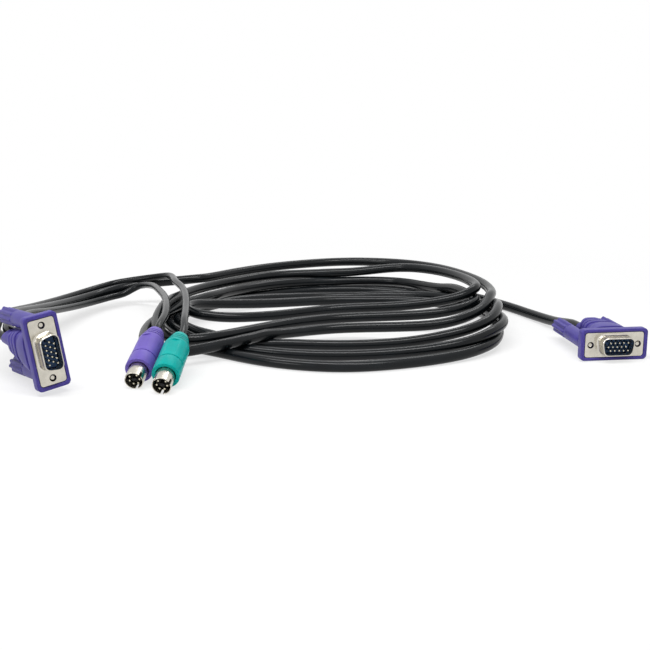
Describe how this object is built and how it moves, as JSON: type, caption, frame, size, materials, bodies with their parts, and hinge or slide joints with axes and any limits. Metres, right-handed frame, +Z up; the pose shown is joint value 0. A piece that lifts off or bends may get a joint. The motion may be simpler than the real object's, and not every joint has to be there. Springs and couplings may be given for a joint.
{
  "type": "computer cable",
  "caption": "Coiled keyboard, video and mouse cable: a video plug with thumbscrews at each end, and two thin cords with round plugs at one end.",
  "frame": {"origin": "on the table, under the middle of the box round all rigid plugs", "axes": "+Z up; +X runs along the row of plugs from the computer end to the switch end; +Y points from the plugs towards the far side of the coil"},
  "size_m": [0.3287, 0.2637, 0.0384],
  "materials": {
    "purple_plastic": "satin moulded vinyl",
    "violet_plastic": "satin moulded vinyl",
    "teal_plastic": "satin moulded vinyl",
    "blue_insulator": "matt moulded plastic",
    "black_plastic": "matt moulded plastic",
    "black_jacket": "smooth glossy cable jacket",
    "nickel_plate": "nickel plated sheet and screws",
    "plated_contacts": "bright plated contact pins"
  },
  "bodies": {
    "cable": {"coiled_cable": "black_jacket", "computer_end_cable": "black_jacket", "computer_plug_hood": "purple_plastic", "computer_plug_insulator": "blue_insulator", "computer_plug_pin_01": "plated_contacts", "computer_plug_pin_02": "plated_contacts", "computer_plug_pin_03": "plated_contacts", "computer_plug_pin_04": "plated_contacts", "computer_plug_pin_05": "plated_contacts", "computer_plug_pin_06": "plated_contacts", "computer_plug_pin_07": "plated_contacts", "computer_plug_pin_08": "plated_contacts", "computer_plug_pin_09": "plated_contacts", "computer_plug_pin_10": "plated_contacts", "computer_plug_pin_11": "plated_contacts", "computer_plug_pin_12": "plated_contacts", "computer_plug_pin_13": "plated_contacts", "computer_plug_pin_14": "plated_contacts", "computer_plug_pin_15": "plated_contacts", "computer_plug_shell": "nickel_plate", "keyboard_cord": "black_jacket", "keyboard_plug_body": "violet_plastic", "keyboard_plug_insulator": "black_plastic", "keyboard_plug_shell": "nickel_plate", "mouse_cord": "black_jacket", "mouse_plug_body": "teal_plastic", "mouse_plug_insulator": "black_plastic", "mouse_plug_shell": "nickel_plate", "switch_end_cable": "black_jacket", "switch_plug_hood": "purple_plastic", "switch_plug_insulator": "blue_insulator", "switch_plug_pin_01": "plated_contacts", "switch_plug_pin_02": "plated_contacts", "switch_plug_pin_03": "plated_contacts", "switch_plug_pin_04": "plated_contacts", "switch_plug_pin_05": "plated_contacts", "switch_plug_pin_06": "plated_contacts", "switch_plug_pin_07": "plated_contacts", "switch_plug_pin_08": "plated_contacts", "switch_plug_pin_09": "plated_contacts", "switch_plug_pin_10": "plated_contacts", "switch_plug_pin_11": "plated_contacts", "switch_plug_pin_12": "plated_contacts", "switch_plug_pin_13": "plated_contacts", "switch_plug_pin_14": "plated_contacts", "switch_plug_pin_15": "plated_contacts", "switch_plug_shell": "nickel_plate"},
    "switch_plug_left_thumbscrew": {"switch_plug_left_knob": "purple_plastic", "switch_plug_left_screw": "nickel_plate"},
    "switch_plug_right_thumbscrew": {"switch_plug_right_knob": "purple_plastic", "switch_plug_right_screw": "nickel_plate"},
    "computer_plug_left_thumbscrew": {"computer_plug_left_knob": "purple_plastic", "computer_plug_left_screw": "nickel_plate"},
    "computer_plug_right_thumbscrew": {"computer_plug_right_knob": "purple_plastic", "computer_plug_right_screw": "nickel_plate"}
  },
  "joints": [
    {"name": "switch_plug_left_thumbscrew_turn", "type": "hinge", "parent": "cable", "child": "switch_plug_left_thumbscrew", "pos_m": [0.12781, 0.02632, 0.00819], "axis": [-0.1478, 0.9889, -0.014], "continuous": true},
    {"name": "switch_plug_right_thumbscrew_turn", "type": "hinge", "parent": "cable", "child": "switch_plug_right_thumbscrew", "pos_m": [0.15254, 0.03001, 0.00802], "axis": [-0.1478, 0.9889, -0.014], "continuous": true},
    {"name": "computer_plug_left_thumbscrew_turn", "type": "hinge", "parent": "cable", "child": "computer_plug_left_thumbscrew", "pos_m": [-0.14241, -0.0326, 0.03097], "axis": [-0.5871, 0.8052, -0.0837], "continuous": true},
    {"name": "computer_plug_right_thumbscrew_turn", "type": "hinge", "parent": "cable", "child": "computer_plug_right_thumbscrew", "pos_m": [-0.13862, -0.03241, 0.00626], "axis": [-0.5871, 0.8052, -0.0837], "continuous": true}
  ]
}
